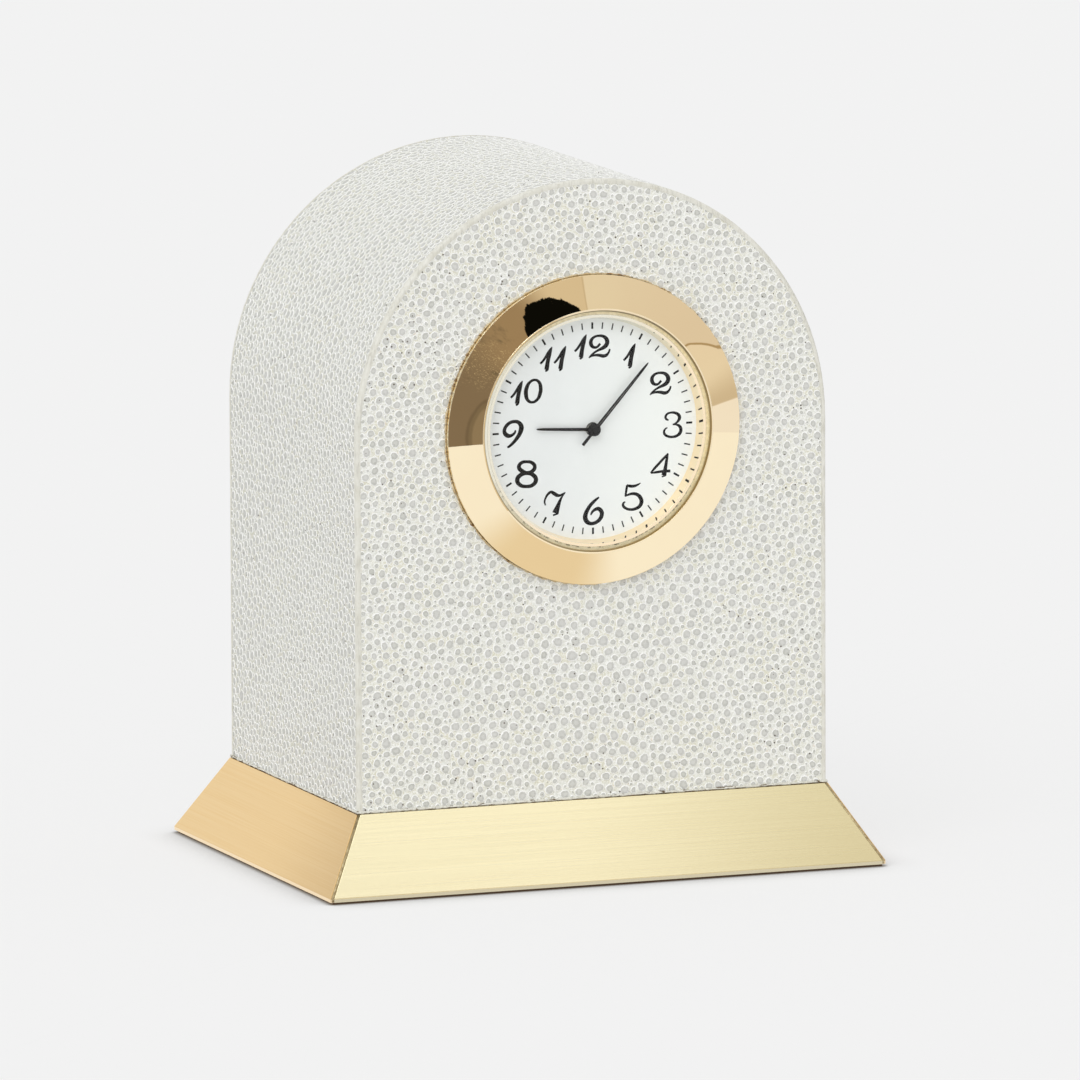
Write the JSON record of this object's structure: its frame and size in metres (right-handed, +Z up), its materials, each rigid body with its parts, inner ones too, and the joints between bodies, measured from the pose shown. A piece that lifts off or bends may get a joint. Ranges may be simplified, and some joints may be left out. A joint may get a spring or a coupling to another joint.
{
  "type": "shelf clock",
  "caption": "Small arched shelf clock in pale pebbled leather on a flared brass plinth, with a removable round quartz insert and gold bezel.",
  "frame": {"origin": "centre of the underside of the pad that the clock stands on", "axes": "+Z up, -Y out of the dial towards the viewer, +X to the right as seen from the front"},
  "size_m": [0.097, 0.0754, 0.1152],
  "materials": {
    "pad_suede": "napped suede",
    "core_wood": "sanded fibre board",
    "steel": "nickelled",
    "pebbled_leather": "ground ray-skin pebbles",
    "smooth_leather": "smooth",
    "brushed_brass": "fine brushed",
    "polished_gold": "polished",
    "crystal_glass": "clear",
    "clear_plastic": "clear",
    "dial_white": "satin",
    "black_plastic": "moulded",
    "white_plastic": "moulded",
    "grip_rubber": "ribbed",
    "copper_wire": "enamelled wire",
    "board_green": "solder mask",
    "contact_brass": "sprung sheet",
    "hand_black": "lacquered",
    "magnet_steel": "sintered"
  },
  "bodies": {
    "case": {"base_pad": "pad_suede", "plinth_core": "core_wood", "plinth_screws": "steel", "core_front_board": "core_wood", "core_frame": "core_wood", "core_back_board": "core_wood", "core_dowels": "core_wood", "front_leather": "pebbled_leather", "wrap_leather": "pebbled_leather", "back_leather": "pebbled_leather", "front_edge_band": "smooth_leather", "back_edge_band": "smooth_leather", "base_plate_front": "brushed_brass", "base_plate_back": "brushed_brass", "base_plate_left": "brushed_brass", "base_plate_right": "brushed_brass"},
    "insert": {"bezel": "polished_gold", "crystal": "crystal_glass", "crystal_gasket": "clear_plastic", "inner_ring": "polished_gold", "dial": "dial_white", "case_cup": "black_plastic", "grip_ring": "grip_rubber", "front_plate": "black_plastic", "bridge_plate": "black_plastic", "plate_screws": "steel", "stator": "steel", "coil_core": "steel", "coil_bobbin": "white_plastic", "coil_winding": "copper_wire", "coil_screws": "steel", "circuit_board": "board_green", "circuit_chip": "black_plastic", "quartz_can": "steel", "button_cell": "steel", "battery_contacts": "contact_brass"},
    "back_cover": {"back_cover": "black_plastic"},
    "minute_train": {"centre_arbor": "hand_black", "cannon_pinion": "white_plastic", "centre_wheel": "white_plastic", "minute_hand": "hand_black"},
    "hour_train": {"hour_wheel": "white_plastic", "hour_hand": "hand_black"},
    "minute_wheel": {"minute_wheel": "white_plastic"},
    "setting_train": {"setting_stem": "white_plastic", "setting_knob": "black_plastic"},
    "third_wheel": {"third_wheel": "white_plastic"},
    "rotor": {"rotor_magnet": "magnet_steel", "rotor_pinion": "white_plastic"}
  },
  "joints": [
    {"name": "insert_slide", "type": "slide", "parent": "case", "child": "insert", "axis": [0, -1, 0], "range_m": [0, 0.022]},
    {"name": "cover_slide", "type": "slide", "parent": "insert", "child": "back_cover", "axis": [0, 1, 0], "range_m": [0, 0.006]},
    {"name": "minute_hand_turn", "type": "hinge", "parent": "insert", "child": "minute_train", "pos_m": [0, -0.0265, 0.0742], "axis": [0, 1, 0], "continuous": true},
    {"name": "hour_hand_turn", "type": "hinge", "parent": "insert", "child": "hour_train", "pos_m": [0, -0.0265, 0.0742], "axis": [0, 1, 0], "continuous": true},
    {"name": "minute_wheel_turn", "type": "hinge", "parent": "insert", "child": "minute_wheel", "pos_m": [0.006, -0.0265, 0.0742], "axis": [0, 1, 0], "continuous": true},
    {"name": "setting_knob_turn", "type": "hinge", "parent": "insert", "child": "setting_train", "pos_m": [0.00986, -0.0265, 0.0788], "axis": [0, 1, 0], "continuous": true},
    {"name": "third_wheel_turn", "type": "hinge", "parent": "insert", "child": "third_wheel", "pos_m": [-0.00153, -0.0265, 0.08287], "axis": [0, 1, 0], "continuous": true},
    {"name": "rotor_turn", "type": "hinge", "parent": "insert", "child": "rotor", "pos_m": [-0.00673, -0.0265, 0.08195], "axis": [0, 1, 0], "continuous": true}
  ],
  "couplings": [
    {"joint": "hour_hand_turn", "follows": "minute_hand_turn", "ratio": 0.083333},
    {"joint": "minute_wheel_turn", "follows": "minute_hand_turn", "ratio": -0.33333},
    {"joint": "setting_knob_turn", "follows": "minute_hand_turn", "ratio": 1},
    {"joint": "third_wheel_turn", "follows": "minute_hand_turn", "ratio": -9},
    {"joint": "rotor_turn", "follows": "minute_hand_turn", "ratio": 90}
  ]
}
